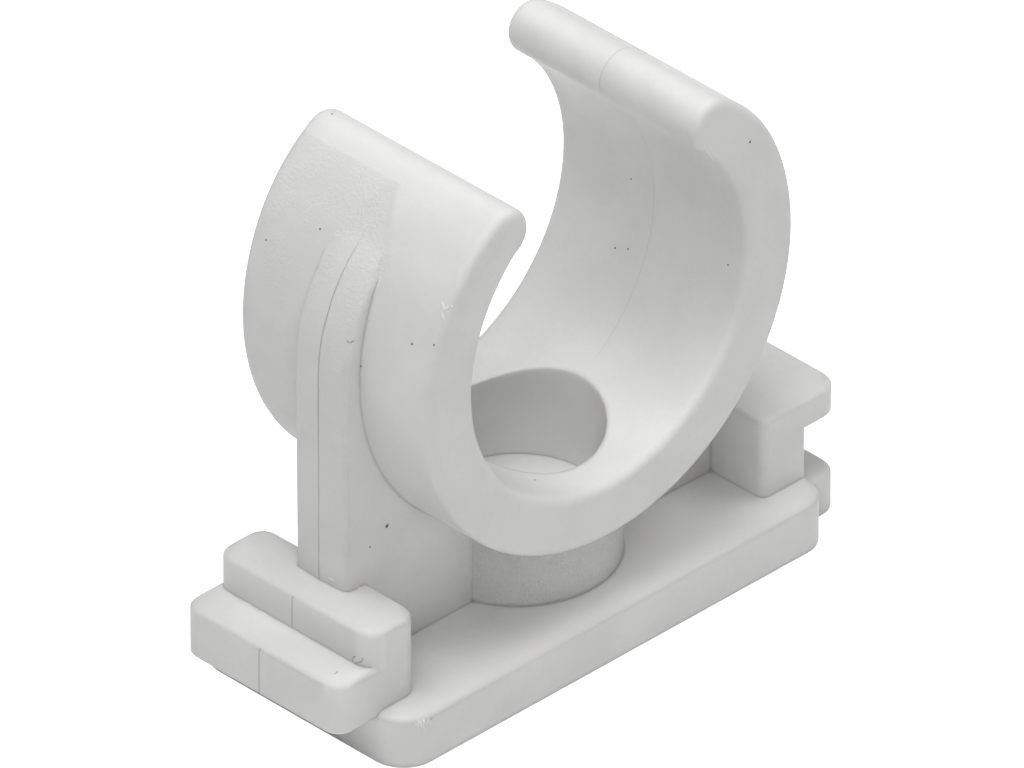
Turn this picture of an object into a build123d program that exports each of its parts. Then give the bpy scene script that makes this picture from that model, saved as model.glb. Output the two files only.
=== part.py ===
"""Snap-in pipe clip for a 20 mm pipe, moulded in one piece.

An open ring grips the pipe. A central web carries the ring at both sides, and a hollow boss under
it takes the screw. The foot is a flat plate with a tongue at one end and a groove at the other, so
that clips slide together in a row. The mould parts at the plane y = 0, and the web tapers away
from it.

Millimetres, +Z up, +X towards the grooved end, the pipe along Y. The origin is on the screw's axis,
in the face that lies against the wall.
"""
import os
from math import acos, atan2, cos, degrees, radians, sin

from build123d import *

# Pipe seat
pipe_diameter = 20.0
ring_wall = 3.35
ring_length = 14.1
ring_height = 20.4
ring_edge = 0.55
lip_radius = 1.5
lip_angle = 49.2
lip_inset = 0.42
lip_blend = 3.0
lip_shoulder = 10.0

# Foot plate
foot_left = 16.05
foot_right = 15.6
foot_width = 15.7
foot_thickness = 3.0
foot_corner = 2.0
foot_edge = 0.3

# Web
web_thickness = 3.9
web_reach = 14.45
web_shoulder = 9.8
web_wrap = 60.0
web_edge = 0.28
web_draft = 3.0

# Screw boss
boss_diameter = 11.1
head_hole_diameter = 9.3
head_hole_floor = 5.8
screw_hole_diameter = 4.6

# End blocks
block_width = 11.7
block_top = 7.8
block_edge = 0.28
tongue_block_inner = 12.8
tongue_block_outer = 16.4
tongue_block_corner = 1.2
tongue_reach = 18.8
tongue_thickness = 3.2
tongue_play = 0.15
groove_block_inner = 12.3
groove_block_corner = 0.5
groove_wall = 15.6
groove_lip_reach = 18.2
groove_lip_corner = 1.5
lower_lip_thickness = 2.35

# Values that follow from the sizes above
bore_radius = pipe_diameter / 2
ring_radius = bore_radius + ring_wall
root_radius = bore_radius + ring_wall / 2
lip_centre_radius = ring_radius - lip_radius - lip_inset
lip_x = lip_centre_radius * cos(radians(lip_angle))
lip_z = ring_height + lip_centre_radius * sin(radians(lip_angle))
tongue_bottom = lower_lip_thickness + tongue_play
tongue_top = tongue_bottom + tongue_thickness
groove_top = tongue_top + tongue_play


def arc_beside_lip(from_pipe, from_lip):
    """Centre of an arc at the lip's lower side, and the two angles at which it joins its neighbours.

    The centre lies at the given distances from the pipe's axis and from the lip's. The first angle
    points from the pipe's axis to the centre, the second from the lip's axis to it, in degrees.
    """
    turn = acos((lip_centre_radius**2 + from_pipe**2 - from_lip**2) / (2 * lip_centre_radius * from_pipe))
    angle = lip_angle - degrees(turn)
    x = from_pipe * cos(radians(angle))
    z = ring_height + from_pipe * sin(radians(angle))
    return (x, z), angle, degrees(atan2(z - lip_z, x - lip_x))


# The lip's round end is joined to the bore by a hollow blend, and to the outside by a shoulder
blend_centre, blend_angle, blend_to_lip = arc_beside_lip(bore_radius - lip_blend, lip_radius + lip_blend)
shoulder_centre, shoulder_angle, shoulder_to_lip = arc_beside_lip(
    ring_radius - lip_shoulder, lip_shoulder - lip_radius
)
lip_start = shoulder_to_lip + 180
lip_end = blend_to_lip % 360

# The ring is a band with a true round bore, open above its two lips and rounded at both ends
with BuildPart() as ring:
    with BuildSketch(Plane.XZ):
        with BuildLine():
            CenterArc((0, ring_height), ring_radius, -90, 90 + shoulder_angle)
            CenterArc(shoulder_centre, lip_shoulder, shoulder_angle, lip_start - shoulder_angle)
            CenterArc((lip_x, lip_z), lip_radius, lip_start, lip_end - lip_start)
            CenterArc(blend_centre, lip_blend, lip_end - 180, blend_angle - lip_end + 180)
            CenterArc((0, ring_height), bore_radius, blend_angle, -90 - blend_angle)
            mirror(about=Plane.YZ)
        make_face()
    extrude(amount=ring_length / 2, both=True)
    ring_ends = ring.faces().sort_by(Axis.Y)
    fillet((ring_ends[0] + ring_ends[-1]).edges(), ring_edge)

# The web stands on the foot, runs up both flanks of the ring to its shoulders, and is drafted
# from the parting plane towards both sides
with BuildPart() as web:
    with BuildSketch(Plane.XZ):
        with BuildLine():
            Line((0, foot_thickness / 2), (web_reach, foot_thickness / 2))
            Line((web_reach, foot_thickness / 2), (web_reach, ring_height))
            flank = CenterArc((web_reach - web_shoulder, ring_height), web_shoulder, 0, web_wrap)
            Line(flank @ 1, (0, ring_height))
            mirror(about=Plane.YZ)
        make_face()
    extrude(amount=web_thickness / 2, both=True, taper=web_draft)
    web_sides = web.faces().sort_by(Axis.Y)
    chamfer((web_sides[0] + web_sides[-1]).edges(), web_edge)

# The foot plate has round corners and a broken upper edge, and a sharp lower one against the wall
with BuildPart() as foot:
    with BuildSketch():
        with Locations(((foot_right - foot_left) / 2, 0)):
            RectangleRounded(foot_left + foot_right, foot_width, foot_corner)
    extrude(amount=foot_thickness)
    chamfer(foot.faces().sort_by(Axis.Z)[-1].edges(), foot_edge)

# The tongue block stands on the left end of the foot and overhangs it
with BuildPart() as tongue_block:
    with BuildSketch(Plane.XY.offset(tongue_bottom)):
        with Locations((-(tongue_block_inner + tongue_block_outer) / 2, 0)):
            RectangleRounded(tongue_block_outer - tongue_block_inner, block_width, tongue_block_corner)
    extrude(amount=block_top - tongue_bottom)
    chamfer(tongue_block.faces().sort_by(Axis.Z)[-1].edges(), block_edge)

# The tongue reaches out of it, as thick as the next clip's groove takes
with BuildPart() as tongue:
    with BuildSketch(Plane.XY.offset(tongue_bottom)):
        with Locations((-(tongue_block_inner + tongue_reach) / 2, 0)):
            RectangleRounded(tongue_reach - tongue_block_inner, block_width, tongue_block_corner)
    extrude(amount=tongue_thickness)
    tongue_faces = tongue.faces().sort_by(Axis.Z)
    chamfer((tongue_faces[0] + tongue_faces[-1]).edges(), block_edge)

# The groove block on the right end is a wall, with a lip above the groove and one below it
with BuildPart() as groove_block:
    with BuildSketch():
        with Locations(((groove_block_inner + groove_wall) / 2, 0)):
            RectangleRounded(groove_wall - groove_block_inner, block_width, groove_block_corner)
    extrude(amount=block_top)
    chamfer(groove_block.faces().sort_by(Axis.Z)[-1].edges(), block_edge)

groove_lip_middle = (groove_block_inner + groove_block_corner + groove_lip_reach) / 2
groove_lip_length = groove_lip_reach - groove_block_inner - groove_block_corner

with BuildPart() as upper_lip:
    with BuildSketch(Plane.XY.offset(groove_top)):
        with Locations((groove_lip_middle, 0)):
            RectangleRounded(groove_lip_length, block_width, groove_lip_corner)
    extrude(amount=block_top - groove_top)
    upper_lip_faces = upper_lip.faces().sort_by(Axis.Z)
    chamfer((upper_lip_faces[0] + upper_lip_faces[-1]).edges(), block_edge)

with BuildPart() as lower_lip:
    with BuildSketch():
        with Locations((groove_lip_middle, 0)):
            RectangleRounded(groove_lip_length, block_width, groove_lip_corner)
    extrude(amount=lower_lip_thickness)
    chamfer(lower_lip.faces().sort_by(Axis.Z)[-1].edges(), block_edge)

# Everything is one moulding: the groove's floor, the bore and the holes are cut as it is joined
with BuildPart() as pipe_clip:
    add(foot.part)
    with BuildSketch(Plane.XY.offset(lower_lip_thickness)):
        with Locations((groove_wall + foot_right / 2, 0)):
            Rectangle(foot_right, block_width)
    extrude(amount=foot_thickness, mode=Mode.SUBTRACT)
    add(web.part)
    with BuildSketch():
        Circle(boss_diameter / 2)
    extrude(amount=ring_height)
    with BuildSketch(Plane.XZ):
        with Locations((0, ring_height)):
            Circle(root_radius)
    extrude(amount=foot_width / 2, both=True, mode=Mode.SUBTRACT)
    add(ring.part)
    add(tongue_block.part)
    add(tongue.part)
    add(groove_block.part)
    add(upper_lip.part)
    add(lower_lip.part)
    with BuildSketch(Plane.XY.offset(head_hole_floor)):
        Circle(head_hole_diameter / 2)
    extrude(amount=ring_height - head_hole_floor, mode=Mode.SUBTRACT)
    with BuildSketch():
        Circle(screw_hole_diameter / 2)
    extrude(amount=head_hole_floor, mode=Mode.SUBTRACT)

pipe_clip.part.label = "pipe_clip"
os.makedirs("parts", exist_ok=True)
export_step(pipe_clip.part, "parts/pipe_clip.step")
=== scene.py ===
"""Pipe clip, one injection moulding in light grey plastic, on a white floor under soft light."""
import math

import bpy
import numpy as np
from mathutils import Matrix, Vector
from mathutils.bvhtree import BVHTree


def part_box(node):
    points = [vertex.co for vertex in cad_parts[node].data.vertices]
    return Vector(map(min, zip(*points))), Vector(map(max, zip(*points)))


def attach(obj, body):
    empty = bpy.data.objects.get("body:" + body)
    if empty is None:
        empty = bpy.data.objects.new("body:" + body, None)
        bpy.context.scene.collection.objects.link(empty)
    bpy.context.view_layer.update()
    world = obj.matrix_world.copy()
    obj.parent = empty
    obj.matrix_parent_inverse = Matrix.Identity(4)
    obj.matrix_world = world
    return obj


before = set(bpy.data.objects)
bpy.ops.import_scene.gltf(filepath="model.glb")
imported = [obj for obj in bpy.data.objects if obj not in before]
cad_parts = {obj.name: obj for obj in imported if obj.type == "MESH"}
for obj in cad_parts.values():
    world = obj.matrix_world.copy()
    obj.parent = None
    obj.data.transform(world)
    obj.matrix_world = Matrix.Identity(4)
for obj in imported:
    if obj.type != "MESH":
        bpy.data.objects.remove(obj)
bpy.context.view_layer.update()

# The clip is one shot of light grey plastic from a two-part mould. The mould's cavities are spark
# eroded, which leaves a fine grain, and its parting plane at y = 0 leaves a hairline.
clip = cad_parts["pipe_clip"]
clip_low, clip_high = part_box("pipe_clip")
millimetre = 0.001


def smooth_by_angle(name, sharp_angle, weld_distance):
    """Geometry nodes that join a mesh's loose triangles and shade it smooth.

    An edge stays sharp where the angle between its two faces is above sharp_angle.
    """
    group = bpy.data.node_groups.new(name, "GeometryNodeTree")
    group.interface.new_socket("Geometry", in_out="INPUT", socket_type="NodeSocketGeometry")
    group.interface.new_socket("Geometry", in_out="OUTPUT", socket_type="NodeSocketGeometry")
    entry = group.nodes.new("NodeGroupInput")
    joined = group.nodes.new("GeometryNodeMergeByDistance")
    joined.inputs["Distance"].default_value = weld_distance
    faces = group.nodes.new("GeometryNodeSetShadeSmooth")
    faces.domain = "FACE"
    angle = group.nodes.new("GeometryNodeInputMeshEdgeAngle")
    soft = group.nodes.new("FunctionNodeCompare")
    soft.data_type = "FLOAT"
    soft.operation = "LESS_THAN"
    soft.inputs["B"].default_value = sharp_angle
    edges = group.nodes.new("GeometryNodeSetShadeSmooth")
    edges.domain = "EDGE"
    leaving = group.nodes.new("NodeGroupOutput")
    group.links.new(entry.outputs[0], joined.inputs["Geometry"])
    group.links.new(joined.outputs["Geometry"], faces.inputs["Geometry"])
    group.links.new(faces.outputs["Geometry"], edges.inputs["Geometry"])
    group.links.new(angle.outputs["Unsigned Angle"], soft.inputs["A"])
    group.links.new(soft.outputs["Result"], edges.inputs["Shade Smooth"])
    group.links.new(edges.outputs["Geometry"], leaving.inputs[0])
    return group


sharp_above = math.radians(50)
weld_distance = 0.002 * millimetre
smoothing = clip.modifiers.new("smooth_by_angle", "NODES")
smoothing.node_group = smooth_by_angle("smooth_by_angle", sharp_above, weld_distance)
weighting = clip.modifiers.new("weighted_normals", "WEIGHTED_NORMAL")
weighting.keep_sharp = True

# The plastic's colours, then its grain, its parting line, its creases and edges, and last the
# clip's own sizes. Lengths are in millimetres.
plastic_light = (0.77, 0.767, 0.755, 1.0)
plastic_shade = (0.725, 0.725, 0.718, 1.0)
# Pale plastic for the worn burrs and for the painted highlight on the edges
worn_and_highlight_plastic = (0.9, 0.9, 0.89, 1.0)
# Dark plastic for grime and for painted shade
grime_and_shade_plastic = (0.2, 0.2, 0.195, 1.0)
grain_per_millimetre = 6.0
smooth_grain_depth = 0.01
coarse_grain_depth = 0.055
boss_grain = 2.8
grain_sink = 0.03
grain_below_lips = 0.6
grain_narrowing = 0.65
sink_mark_depth = 0.03
parting_half = 0.06
parting_wander = 0.06
parting_depth = 0.03
parting_grime = 0.34
# The crease and grain strengths set painted shade, and the edge paleness sets a painted highlight
crease_reach = 0.35
crease_shade_strength = 0.42
grain_shade_strength = 0.1
edge_round = 0.48
edge_highlight_strength = 0.55
pipe_axis_height = 20.4
bore_radius = 10.0
ring_radius = 13.35
web_thickness = 3.9
boss_radius = 5.55
foot_top = 3.0
block_top = 7.8
lips_top = clip_high.z / millimetre


def feed(tree, socket, value):
    """Links a socket to another socket, or gives it a plain value."""
    if isinstance(value, bpy.types.NodeSocket):
        tree.links.new(value, socket)
    else:
        socket.default_value = value


def number(tree, operation, *values):
    """The result of one Math node."""
    node = tree.nodes.new("ShaderNodeMath")
    node.operation = operation
    for socket, value in zip(node.inputs, values):
        feed(tree, socket, value)
    return node.outputs[0]


def vector(tree, operation, first, second, output="Vector"):
    """The result of one Vector Math node."""
    node = tree.nodes.new("ShaderNodeVectorMath")
    node.operation = operation
    feed(tree, node.inputs[0], first)
    feed(tree, node.inputs[1], second)
    return node.outputs[output]


def eased(tree, value, start, end, at_start=0.0, at_end=1.0):
    """Runs smoothly from at_start, where value is start or less, to at_end, from end on."""
    node = tree.nodes.new("ShaderNodeMapRange")
    node.interpolation_type = "SMOOTHSTEP"
    feed(tree, node.inputs["Value"], value)
    feed(tree, node.inputs["From Min"], start)
    feed(tree, node.inputs["From Max"], end)
    feed(tree, node.inputs["To Min"], at_start)
    feed(tree, node.inputs["To Max"], at_end)
    return node.outputs["Result"]


def noise(tree, place, per_millimetre, detail, roughness=0.5):
    """Perlin noise between 0 and 1, with so many cells in a millimetre."""
    node = tree.nodes.new("ShaderNodeTexNoise")
    feed(tree, node.inputs["Vector"], place)
    feed(tree, node.inputs["Scale"], per_millimetre)
    node.inputs["Detail"].default_value = detail
    node.inputs["Roughness"].default_value = roughness
    return node.outputs["Fac"]


def blended(tree, share, first, second, kind="RGBA"):
    """A colour between two others, or a vector where kind is VECTOR.

    A Mix node has two inputs and a result of its own for each kind, and they are found by number.
    """
    first_input, second_input, result = {"RGBA": (6, 7, 2), "VECTOR": (4, 5, 1)}[kind]
    node = tree.nodes.new("ShaderNodeMix")
    node.data_type = kind
    feed(tree, node.inputs[0], share)
    feed(tree, node.inputs[first_input], first)
    feed(tree, node.inputs[second_input], second)
    return node.outputs[result]


plastic = bpy.data.materials.new("moulded_plastic")
plastic.use_nodes = True
tree = plastic.node_tree
shader = tree.nodes["Principled BSDF"]
place = vector(
    tree, "MULTIPLY", tree.nodes.new("ShaderNodeTexCoord").outputs["Object"], (1 / millimetre,) * 3
)
split = tree.nodes.new("ShaderNodeSeparateXYZ")
feed(tree, split.inputs[0], place)
x, y, z = split.outputs

# Distances from the screw's axis, from the pipe's and from the parting plane
from_screw = number(tree, "SQRT", number(tree, "MULTIPLY_ADD", x, x, number(tree, "MULTIPLY", y, y)))
height = number(tree, "SUBTRACT", z, pipe_axis_height)
from_pipe = number(
    tree, "SQRT", number(tree, "MULTIPLY_ADD", x, x, number(tree, "MULTIPLY", height, height))
)
from_parting = number(tree, "ABSOLUTE", y)

# Spark erosion is coarse on the boss, and in patches on the outer faces of the web and of the
# ring's far half. It ends short of the lips, and above the web it narrows towards them.
from_boss = number(tree, "ABSOLUTE", number(tree, "SUBTRACT", from_screw, boss_radius))
on_boss = number(tree, "MULTIPLY", eased(tree, from_boss, 0.08, 0.25, 1.0, 0.0), number(
    tree, "MULTIPLY", eased(tree, z, foot_top, foot_top + 0.2, 0.0, boss_grain),
    eased(tree, z, block_top + 0.5, block_top + 1.5, 1.0, 0.0),
))
grain_top = lips_top - grain_below_lips
web_half = number(tree, "MINIMUM", web_thickness / 2, number(
    tree, "MULTIPLY", number(tree, "SUBTRACT", grain_top, z), grain_narrowing
))
on_web = eased(tree, number(tree, "SUBTRACT", from_parting, web_half), 0.0, 0.6, 1.0, 0.0)
on_flank = number(
    tree, "MULTIPLY", eased(tree, from_pipe, ring_radius - 0.75, ring_radius - 0.15),
    number(tree, "MAXIMUM", eased(tree, y, -0.3, 0.3, 0.0, 0.75), on_web),
)
on_flank = number(tree, "MULTIPLY", on_flank, number(
    tree, "MULTIPLY", eased(tree, z, block_top + 0.7, block_top + 2.7),
    eased(tree, z, grain_top - 0.12, grain_top, 1.0, 0.0),
))
patches = eased(tree, noise(tree, place, 0.45, 1.0), 0.38, 0.6, 0.25, 1.0)
coarse = number(tree, "MAXIMUM", on_boss, number(tree, "MULTIPLY", patches, on_flank))

# The parting line is a hairline round the outside, faint in the bore and on the right lip. It ends
# below the left lip, and there is none near the screw's axis or on the tops of foot and blocks.
wander = number(
    tree, "MULTIPLY_ADD", noise(tree, place, 1.2, 0.0), parting_wander, -parting_wander / 2
)
parting = eased(
    tree, number(tree, "ABSOLUTE", number(tree, "ADD", y, wander)),
    parting_half / 4, parting_half, 1.0, 0.0,
)
in_bore = eased(tree, from_pipe, bore_radius + 0.1, bore_radius + 0.4, 0.3, 1.0)
off_left_lip = number(
    tree, "MAXIMUM", eased(tree, z, lips_top - 4.0, lips_top - 2.0, 1.0, 0.0), eased(tree, x, -1.0, 1.0)
)
upright = tree.nodes.new("ShaderNodeSeparateXYZ")
surface = tree.nodes.new("ShaderNodeNewGeometry").outputs["Normal"]
feed(tree, upright.inputs[0], surface)
off_block_tops = number(
    tree, "MAXIMUM", eased(tree, upright.outputs["Z"], 0.5, 0.8, 1.0, 0.0),
    eased(tree, z, block_top + 1.0, block_top + 2.0),
)
parting = number(
    tree, "MULTIPLY", number(tree, "MULTIPLY", parting, off_block_tops),
    number(tree, "MULTIPLY", in_bore, off_left_lip),
)
parting = number(tree, "MULTIPLY", parting, number(
    tree, "MULTIPLY", eased(tree, from_screw, boss_radius + 0.05, boss_radius + 0.35),
    eased(tree, z, lips_top - 5.5, lips_top - 2.5, 1.0, 0.5),
))

# Painted shade darkens the creases, and a painted highlight makes the outer edges a little paler
crevice = tree.nodes.new("ShaderNodeAmbientOcclusion")
crevice.samples = 4
crevice.only_local = True
crevice.inputs["Distance"].default_value = crease_reach * millimetre
# Painted shade: creases turn darker where the local ambient occlusion is low
crease_shade = eased(tree, crevice.outputs["AO"], 0.42, 0.8, 1.0, 0.0)
rounding = tree.nodes.new("ShaderNodeBevel")
rounding.samples = 4
rounding.inputs["Radius"].default_value = edge_round * millimetre
turned = vector(tree, "DOT_PRODUCT", rounding.outputs["Normal"], surface, "Value")
convex = eased(tree, crevice.outputs["AO"], 0.7, 0.9)
# Painted highlight: a mask along the convex edges, where the bevel normal turns away
edge_highlight = number(tree, "MULTIPLY", eased(tree, turned, 0.82, 0.99, 1.0, 0.0), convex)
softened = blended(tree, convex, surface, rounding.outputs["Normal"], "VECTOR")

# Colour: a faint mottling, then painted shade on the coarse grain of the flank, strongest just below
# the lips, painted shade in the creases, a darker parting line, and a painted highlight on the outer
# edges
mottling = number(
    tree, "MULTIPLY_ADD", noise(tree, place, 0.22, 2.0), 0.8,
    number(tree, "MULTIPLY", noise(tree, place, 2.8, 2.0), 0.2),
)
paleness = eased(tree, mottling, 0.36, 0.64)
# The coarse flank is painted darker: painted shade of its grain
paleness = number(tree, "MULTIPLY_ADD", on_flank, -0.8, paleness)
colour = blended(tree, paleness, plastic_shade, plastic_light)
# More painted shade of the coarse grain, growing towards the grain's top just below the lips
grain_shade_below_lip = number(
    tree, "MULTIPLY", on_flank, eased(tree, z, grain_top - 2.9, grain_top - 0.1, 0.0, grain_shade_strength)
)
# Painted shade of the creases and of the coarse grain, together with the dark parting line
shade_and_grime = number(tree, "MAXIMUM", grain_shade_below_lip, number(
    tree, "MAXIMUM", number(tree, "MULTIPLY", parting, parting_grime),
    number(tree, "MULTIPLY", crease_shade, crease_shade_strength),
))
colour = blended(tree, shade_and_grime, colour, grime_and_shade_plastic)
# The painted highlight pales the outer edges towards the pale plastic
colour = blended(tree, number(tree, "MULTIPLY", edge_highlight, edge_highlight_strength), colour, worn_and_highlight_plastic)
feed(tree, shader.inputs["Base Color"], colour)

# Sheen: the coarse faces are duller
feed(tree, shader.inputs["Roughness"], number(
    tree, "MULTIPLY_ADD", number(tree, "MINIMUM", coarse, 1.0), 0.12,
    eased(tree, noise(tree, place, 1.1, 2.0), 0.3, 0.7, 0.46, 0.54),
))

# Relief in millimetres: faint sink marks, the grain, the parting line, and the coarse faces, which
# lie a little deeper
depth = number(
    tree, "MULTIPLY_ADD", coarse, coarse_grain_depth - smooth_grain_depth, smooth_grain_depth
)
grain = noise(tree, place, grain_per_millimetre, 2.0, 0.65)
sink_marks = number(tree, "MULTIPLY", noise(tree, place, 0.3, 0.0), sink_mark_depth)
relief = number(tree, "MULTIPLY_ADD", grain, depth, sink_marks)
relief = number(tree, "MULTIPLY_ADD", parting, -parting_depth, relief)
relief = number(tree, "MULTIPLY_ADD", on_flank, -grain_sink, relief)
bump = tree.nodes.new("ShaderNodeBump")
bump.inputs["Distance"].default_value = millimetre
feed(tree, bump.inputs["Height"], relief)
feed(tree, bump.inputs["Normal"], softened)
feed(tree, shader.inputs["Normal"], bump.outputs["Normal"])
for slot in clip.material_slots:
    slot.material = plastic

# The camera looks down on the clip from the front left, from far off through a long lens. Its two
# angles, its scale in pixels per millimetre and the origin's pixel fit the photograph's edges.
camera_turn = math.radians(44.6)
camera_height = math.radians(33.56)
camera_distance = 1600 * millimetre
scale_at_origin = 19.14
origin_pixel = (517.4, 595.2)
image_size = (1024, 768)
sensor_width = 36.0

right = Vector((math.cos(camera_turn), -math.sin(camera_turn), 0))
up = Vector((
    math.sin(camera_turn) * math.sin(camera_height),
    math.cos(camera_turn) * math.sin(camera_height),
    math.cos(camera_height),
))
back = right.cross(up)
across = (image_size[0] / 2 - origin_pixel[0]) / scale_at_origin * millimetre
along = (origin_pixel[1] - image_size[1] / 2) / scale_at_origin * millimetre
camera_data = bpy.data.cameras.new("camera")
camera = bpy.data.objects.new("camera", camera_data)
bpy.context.scene.collection.objects.link(camera)
camera.matrix_world = Matrix.Translation(
    back * camera_distance + right * across + up * along
) @ Matrix((right, up, back)).transposed().to_4x4()
camera_data.sensor_width = sensor_width
camera_data.lens = (
    scale_at_origin / millimetre * camera_distance * sensor_width / image_size[0]
)
camera_data.clip_start = 0.1
camera_data.clip_end = 50.0
bpy.context.scene.camera = camera

# Burnt specks are carried into the mould with the melt and set flush in the skin. Fourteen show in
# the photograph, and as thin a scatter lies on the faces turned away from it. Each is a flattened
# crumb of charred plastic.
clip_skin = BVHTree.FromPolygons(
    [corner.co / millimetre for corner in clip.data.vertices],
    [face.vertices for face in clip.data.polygons],
)
speck_pixels = [
    (750, 142), (320, 229), (412, 344), (434, 345), (387, 526), (370, 547), (332, 114), (631, 179),
    (615, 248), (628, 249), (728, 265), (361, 366), (266, 240), (535, 480),
]
speck_radius = 0.055
large_specks = {(750, 142): 0.08, (387, 526): 0.11, (412, 344): 0.07}
speck_thickness = 0.015
tossed_specks = 60
tossed_radii = (0.04, 0.09)
toss_seed = 5
away_from_camera = (0.6, 0.6, -0.5)
turned_far_enough = 0.15
box_low = np.array(clip_low) / millimetre
box_high = np.array(clip_high) / millimetre


def on_skin_at(pixels):
    """Where the clip's skin shows at pixels of the photograph, and the directions out of it there.

    A line of sight leaves the camera along its view, times the distance in pixels, plus the pixel's
    offset to the right and up from the middle of the picture.
    """
    eye = camera.matrix_world.translation / millimetre
    found = []
    for column, row in np.reshape(pixels, (-1, 2)):
        sight = (
            right * (column - image_size[0] / 2) + up * (image_size[1] / 2 - row)
            - back * (scale_at_origin * camera_distance / millimetre)
        )
        found.append([list(part) for part in clip_skin.ray_cast(eye, sight.normalized())[:2]])
    found = np.array(found).reshape(*np.shape(pixels)[:-1], 2, 3)
    return found[..., 0, :], found[..., 1, :]


def closed_pieces(name, rings):
    """One mesh of closed pieces. Each is a stack of rings, given as pieces x rings x points x 3.

    Quads join each ring to the next, and a many-sided face closes each end. A point that would lie
    outside the clip's box is moved to its side.
    """
    count, tall, around = rings.shape[:3]
    index = np.arange(count * tall * around).reshape(count, tall, around)
    turned = np.roll(index, -1, axis=2)
    quads = np.stack([index[:, :-1], index[:, 1:], turned[:, 1:], turned[:, :-1]], axis=-1)
    mesh = bpy.data.meshes.new(name)
    mesh.from_pydata(
        (np.clip(rings, box_low, box_high) * millimetre).reshape(-1, 3).tolist(), [],
        quads.reshape(-1, 4).tolist() + index[:, 0].tolist() + index[:, -1, ::-1].tolist(),
    )
    mesh.shade_smooth()
    piece = bpy.data.objects.new(name, mesh)
    bpy.context.scene.collection.objects.link(piece)
    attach(piece, "root")
    return piece


def crumbs(places, out, radii, thickness, lobe_height=0.18):
    """Rings of flattened balls, half sunk in the skin at the places, where out points out of it.

    A ring at a latitude is the radius times its cosine wide, and lies the thickness times its sine
    above the skin. Three shallow lobes, turned by the place's x, make each outline uneven. No face
    points along the slanting direction, so its cross product with out never vanishes.
    """
    slanting = (0.31, 0.52, 0.8)
    across = np.cross(out, slanting)
    across /= np.linalg.norm(across, axis=1, keepdims=True)
    beside = np.cross(across, out)
    latitude = np.radians(np.linspace(-80, 80, 7))[None, :, None, None]
    turn = np.linspace(0, 2 * np.pi, 12, endpoint=False)[None, None, :, None]
    outline = 1 + lobe_height * np.sin(3 * turn + 40 * places[:, None, None, :1])
    width = radii[:, None, None, None] * np.cos(latitude) * outline
    flat = np.cos(turn) * across[:, None, None] + np.sin(turn) * beside[:, None, None]
    return places[:, None, None] + width * flat + thickness * np.sin(latitude) * out[:, None, None]


# The unseen specks are tossed into the clip's box, each goes to the skin's nearest point, and those
# on faces turned towards the camera are dropped
chance = np.random.default_rng(toss_seed)
tossed = chance.uniform(box_low, box_high, (tossed_specks, 3))
nearest = np.array([[list(part) for part in clip_skin.find_nearest(place)[:2]] for place in tossed])
unseen = nearest[nearest[:, 1] @ away_from_camera > turned_far_enough]
places, out = on_skin_at(speck_pixels)
radii = [large_specks.get(pixel, speck_radius) for pixel in speck_pixels]
specks = closed_pieces("burnt_specks", crumbs(
    np.vstack([places, unseen[:, 0]]), np.vstack([out, unseen[:, 1]]),
    np.append(radii, chance.uniform(*tossed_radii, len(unseen))), speck_thickness,
))

# Spoilt plastic is never even: a first finish runs into a second over a fine grain. The group
# serves the specks, the burrs and the scars.
uneven_finish = bpy.data.node_groups.new("uneven_finish", "ShaderNodeTree")
for label, kind in (
    ("Place", "Vector"), ("Cells in a Millimetre", "Float"), ("First Colour", "Color"),
    ("Second Colour", "Color"), ("First Roughness", "Float"), ("Second Roughness", "Float"),
):
    uneven_finish.interface.new_socket(label, in_out="INPUT", socket_type="NodeSocket" + kind)
uneven_finish.interface.new_socket("Colour", in_out="OUTPUT", socket_type="NodeSocketColor")
uneven_finish.interface.new_socket("Roughness", in_out="OUTPUT", socket_type="NodeSocketFloat")
given = uneven_finish.nodes.new("NodeGroupInput").outputs
result = uneven_finish.nodes.new("NodeGroupOutput").inputs
grain = noise(uneven_finish, given["Place"], given["Cells in a Millimetre"], 1.0)
share = eased(uneven_finish, grain, 0.3, 0.7)
feed(uneven_finish, result["Colour"], blended(
    uneven_finish, share, given["First Colour"], given["Second Colour"]
))
feed(uneven_finish, result["Roughness"], eased(
    uneven_finish, grain, 0.3, 0.7, given["First Roughness"], given["Second Roughness"]
))


def spoilt_plastic(name, cells_in_a_millimetre, colours, roughnesses):
    """A material with the uneven finish, from the first colour and roughness to the second."""
    material = bpy.data.materials.new(name)
    material.use_nodes = True
    tree = material.node_tree
    place = vector(
        tree, "MULTIPLY", tree.nodes.new("ShaderNodeTexCoord").outputs["Object"], (1 / millimetre,) * 3
    )
    finish = tree.nodes.new("ShaderNodeGroup")
    finish.node_tree = uneven_finish
    for socket, value in zip(finish.inputs, (place, cells_in_a_millimetre, *colours, *roughnesses)):
        feed(tree, socket, value)
    shader = tree.nodes["Principled BSDF"]
    feed(tree, shader.inputs["Base Color"], finish.outputs["Colour"])
    feed(tree, shader.inputs["Roughness"], finish.outputs["Roughness"])
    return material


char_dark = (0.05, 0.048, 0.045, 1.0)
char_grey = (0.16, 0.155, 0.15, 1.0)
specks.data.materials.append(
    spoilt_plastic("charred_plastic", 20.0, (char_dark, char_grey), (0.5, 0.75))
)

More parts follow.
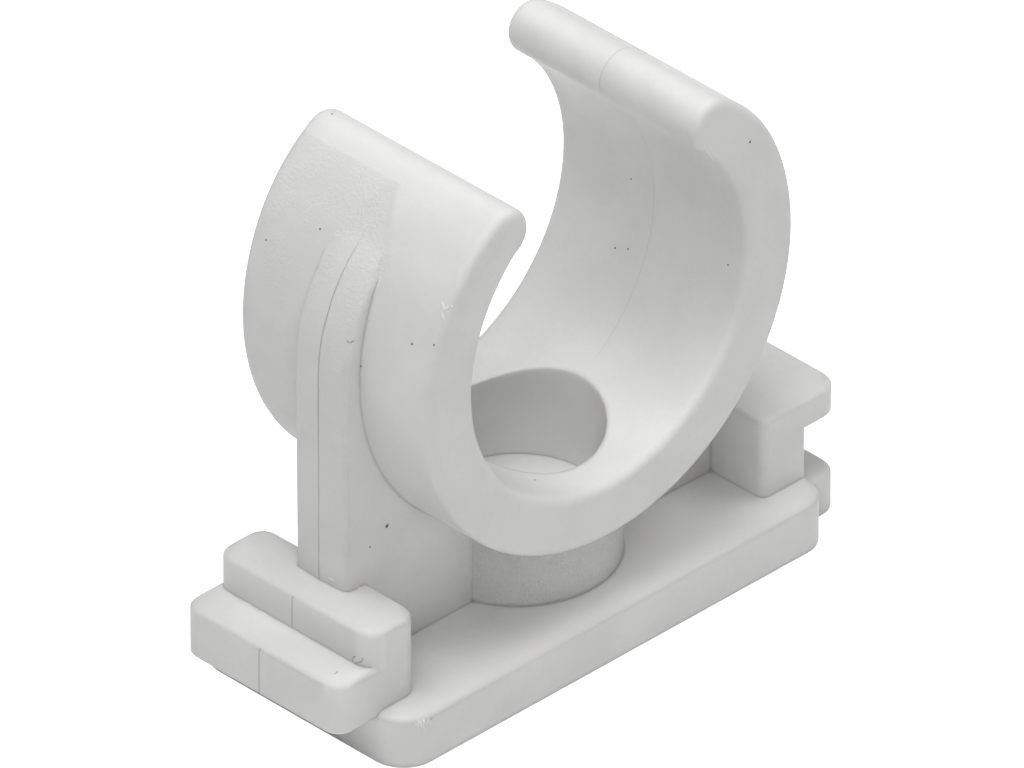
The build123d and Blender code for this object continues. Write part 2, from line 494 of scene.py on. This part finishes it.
# Burrs are whiskers of plastic whitened by rubbing: scuffed off the foot's front left corner, the
# ring's left flank and the edge of the right lip, and squeezed out where web and tongue start.
burr_pixels = [
    [(415, 722), (417, 725), (420, 729)],
    [(417, 720), (420, 724), (423, 729)],
    [(420, 719), (423, 725), (425, 732)],
    [(424, 719), (424, 723), (423, 728)],
    [(429, 719), (427, 722), (426, 726)],
    [(432, 718), (430, 721), (429, 725)],
    [(442, 301), (443, 305), (444, 309)],
    [(443, 308), (446, 309), (449, 307)],
    [(442, 312), (443, 317), (444, 321)],
    [(451, 305), (452, 307), (452, 309)],
    [(705, 150), (709, 154), (713, 160)],
    [(328, 578), (331, 579), (334, 581)],
    [(356, 586), (360, 588), (364, 590)],
    [(244, 602), (248, 604), (252, 606)],
    [(259, 611), (263, 613), (266, 615)],
    [(462, 536), (466, 538), (470, 539)],
]
burr_radius = 0.055


def whiskers(pixel_paths, radius, raised=0.6):
    """Rings of thin round whiskers that lie along the skin and taper to both ends.

    Each follows three pixels of the photograph, laid on the skin. Its radius is the given one times
    the root of 1.02 - s squared, with s from -1 to 1 along the path, so both ends stay a little
    open for their faces. It stands raised times as far out of the skin as it reaches sideways.
    """
    share = np.linspace(0, 2, 13)
    pixel_paths = np.array(pixel_paths, float)
    first = np.minimum(share.astype(int), 1)
    step = (share - first)[None, :, None]
    places, out = on_skin_at(pixel_paths[:, first] * (1 - step) + pixel_paths[:, first + 1] * step)
    ahead = np.gradient(places, axis=1)
    beside = np.cross(ahead, out)
    beside /= np.linalg.norm(beside, axis=2, keepdims=True)
    width = radius * np.sqrt(1.02 - (share - 1) ** 2)[None, :, None, None]
    turn = np.linspace(0, 2 * np.pi, 8, endpoint=False)[None, None, :, None]
    return places[:, :, None] + width * (
        np.cos(turn) * beside[:, :, None] + raised * np.sin(turn) * out[:, :, None]
    )


burrs = closed_pieces("burrs", whiskers(burr_pixels, burr_radius))
burrs.data.materials.append(
    spoilt_plastic("whitened_plastic", 14.0, (plastic_light, worn_and_highlight_plastic), (0.45, 0.6))
)

# A bubble burst on the tongue block and left a hooked scar, and the tongue and the web's left
# flank have nicks. Their dark colour is painted shade of the grooves, together with grime on their
# lifted edges.
scar_pixels = [
    [(356, 657), (353, 657), (352, 660)],
    [(352, 659), (354, 663), (358, 663)],
    [(357, 663), (361, 662), (363, 658)],
    [(334, 674), (336, 673), (338, 671)],
    [(346, 341), (350, 343), (355, 340)],
]
scar_radius = 0.042
scars = closed_pieces("scars", whiskers(scar_pixels, scar_radius))
# The scars' dark plastic is painted shade of their grooves, with grime
scars.data.materials.append(
    spoilt_plastic("grime_and_shade_plastic", 10.0, (grime_and_shade_plastic, plastic_shade), (0.5, 0.65))
)

# The floor is a plain white sheet. The camera sees it as white, with the clip's soft shadow on it.
# It lies a hair below the foot, so that no two faces share a plane.
floor_half = 6.0
floor_gap = 0.02
floor_mesh = bpy.data.meshes.new("floor")
corners = floor_half * np.array([(-1, -1, 0), (1, -1, 0), (1, 1, 0), (-1, 1, 0)], float)
corners[:, 2] = clip_low.z - floor_gap * millimetre
floor_mesh.from_pydata(corners.tolist(), [], [(0, 1, 2, 3)])
floor = bpy.data.objects.new("floor", floor_mesh)
bpy.context.scene.collection.objects.link(floor)

floor_colour = (0.8, 0.8, 0.8, 1.0)
floor_lift = 0.85
sheet = bpy.data.materials.new("white_sheet")
sheet.use_nodes = True
tree = sheet.node_tree
matt = tree.nodes["Principled BSDF"]
matt.inputs["Base Color"].default_value = floor_colour
matt.inputs["Roughness"].default_value = 1.0
matt.inputs["Specular IOR Level"].default_value = 0.0
matt.inputs["Emission Color"].default_value = (1, 1, 1, 1)
path = tree.nodes.new("ShaderNodeLightPath")
seen = number(tree, "MAXIMUM", path.outputs["Is Camera Ray"], path.outputs["Is Glossy Ray"])
feed(tree, matt.inputs["Emission Strength"], number(tree, "MULTIPLY", seen, floor_lift))
floor_mesh.materials.append(sheet)

# The room light is weak and even, and the camera sees it as white. Three large soft lamps hang
# above the clip: one overhead, one to its right and one to its front left.
room_level = 0.06
world = bpy.data.worlds.new("white_room")
bpy.context.scene.world = world
world.use_nodes = True
tree = world.node_tree
room = tree.nodes["Background"]
room.inputs["Color"].default_value = (1, 1, 1, 1)
path = tree.nodes.new("ShaderNodeLightPath")
level = tree.nodes.new("ShaderNodeMapRange")
level.inputs["To Min"].default_value = room_level
level.inputs["To Max"].default_value = 1.0
feed(tree, level.inputs["Value"], path.outputs["Is Camera Ray"])
feed(tree, room.inputs["Strength"], level.outputs["Result"])


def softbox(name, place, size, power):
    """A square area lamp at place, in millimetres, that faces the middle of the clip."""
    data = bpy.data.lights.new(name, "AREA")
    data.shape = "SQUARE"
    data.size = size * millimetre
    data.energy = power
    lamp = bpy.data.objects.new(name, data)
    bpy.context.scene.collection.objects.link(lamp)
    lamp.location = Vector(place) * millimetre
    middle = (clip_low + clip_high) / 2
    lamp.rotation_mode = "QUATERNION"
    lamp.rotation_quaternion = (middle - lamp.location).to_track_quat("-Z", "Y")


softbox("softbox_above", place=(-60, 40, 400), size=300, power=1.2)
softbox("softbox_above_right", place=(220, -120, 360), size=260, power=0.55)
softbox("softbox_front_left", place=(-250, -250, 300), size=260, power=0.53)

bpy.context.scene.view_settings.view_transform = "Standard"
